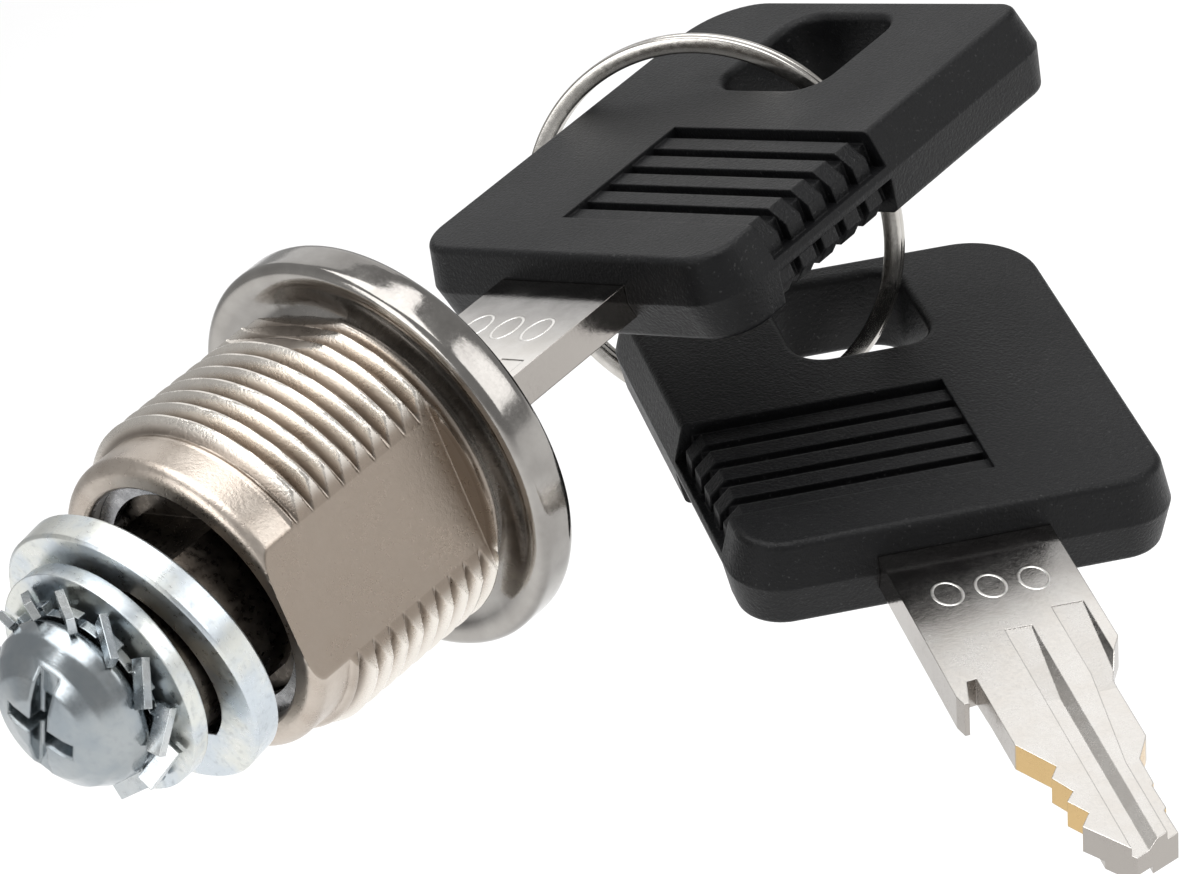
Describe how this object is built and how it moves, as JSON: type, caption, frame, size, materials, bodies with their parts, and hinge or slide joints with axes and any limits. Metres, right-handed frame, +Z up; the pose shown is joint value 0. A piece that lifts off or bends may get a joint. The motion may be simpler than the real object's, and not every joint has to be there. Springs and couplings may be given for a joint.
{
  "type": "cam lock",
  "caption": "Threaded cam lock with flange, barrel flats, turning wafer plug, cam screw stack, and moulded-head keys on a split ring.",
  "frame": {"origin": "centre of the flange's rear seating face, on the barrel axis", "axes": "+Y along the barrel from the flange to the cam screw, +X square to the barrel's main flats, +Z up, square to the flat key blade at rest"},
  "size_m": [0.0591, 0.0697, 0.0354],
  "materials": {
    "housing_nickel": "satin nickel over zinc casting",
    "plug_zinc": "machined zinc",
    "brass_wafer": "stamped",
    "spring_steel": "drawn wire",
    "zinc_plate": "bright zinc plate",
    "key_nickel": "bright nickel on brass",
    "key_plastic": "fine grain",
    "ring_nickel": "bright nickel"
  },
  "bodies": {
    "housing": {"housing": "housing_nickel", "retaining_clip": "spring_steel"},
    "plug": {"plug": "plug_zinc", "cam_spacer": "zinc_plate", "flat_washer": "zinc_plate", "lock_washer": "zinc_plate", "cam_screw": "zinc_plate", "wafer_spring_1": "spring_steel", "wafer_spring_2": "spring_steel", "wafer_spring_3": "spring_steel", "wafer_spring_4": "spring_steel", "wafer_spring_5": "spring_steel"},
    "wafer_1": {"wafer_1": "brass_wafer"},
    "wafer_2": {"wafer_2": "brass_wafer"},
    "wafer_3": {"wafer_3": "brass_wafer"},
    "wafer_4": {"wafer_4": "brass_wafer"},
    "wafer_5": {"wafer_5": "brass_wafer"},
    "key_1": {"key_1_blade": "key_nickel", "key_1_head": "key_plastic"},
    "ring": {"split_ring": "ring_nickel"},
    "key_2": {"key_2_blade": "key_nickel", "key_2_head": "key_plastic"}
  },
  "joints": [
    {"name": "plug_turn", "type": "hinge", "parent": "housing", "child": "plug", "pos_m": [0, 0, 0], "axis": [0, 1, 0], "range_deg": [0, 90]},
    {"name": "key_1_slide", "type": "slide", "parent": "plug", "child": "key_1", "axis": [0, -1, 0], "range_m": [0, 0.017]},
    {"name": "wafer_1_slide", "type": "slide", "parent": "plug", "child": "wafer_1", "axis": [1, 0, 0], "range_m": [0, 0.0007]},
    {"name": "wafer_2_slide", "type": "slide", "parent": "plug", "child": "wafer_2", "axis": [-1, 0, 0], "range_m": [0, 0.0007]},
    {"name": "wafer_3_slide", "type": "slide", "parent": "plug", "child": "wafer_3", "axis": [1, 0, 0], "range_m": [0, 0.0007]},
    {"name": "wafer_4_slide", "type": "slide", "parent": "plug", "child": "wafer_4", "axis": [-1, 0, 0], "range_m": [0, 0.0007]},
    {"name": "wafer_5_slide", "type": "slide", "parent": "plug", "child": "wafer_5", "axis": [1, 0, 0], "range_m": [0, 0.0007]},
    {"name": "ring_swing", "type": "hinge", "parent": "key_1", "child": "ring", "pos_m": [-0.00111, -0.03743, 0], "axis": [0.5604, 0.08, 0.8243], "range_deg": [-40, 0]},
    {"name": "key_2_swing", "type": "hinge", "parent": "ring", "child": "key_2", "pos_m": [-0.00036, -0.03429, -0.01371], "axis": [-0.6406, -0.4169, 0.6448], "range_deg": [-20, 30]}
  ],
  "couplings": [
    {"joint": "wafer_1_slide", "follows": "key_1_slide", "ratio": 0.041},
    {"joint": "wafer_2_slide", "follows": "key_1_slide", "ratio": 0.041},
    {"joint": "wafer_3_slide", "follows": "key_1_slide", "ratio": 0.041},
    {"joint": "wafer_4_slide", "follows": "key_1_slide", "ratio": 0.041},
    {"joint": "wafer_5_slide", "follows": "key_1_slide", "ratio": 0.041}
  ]
}
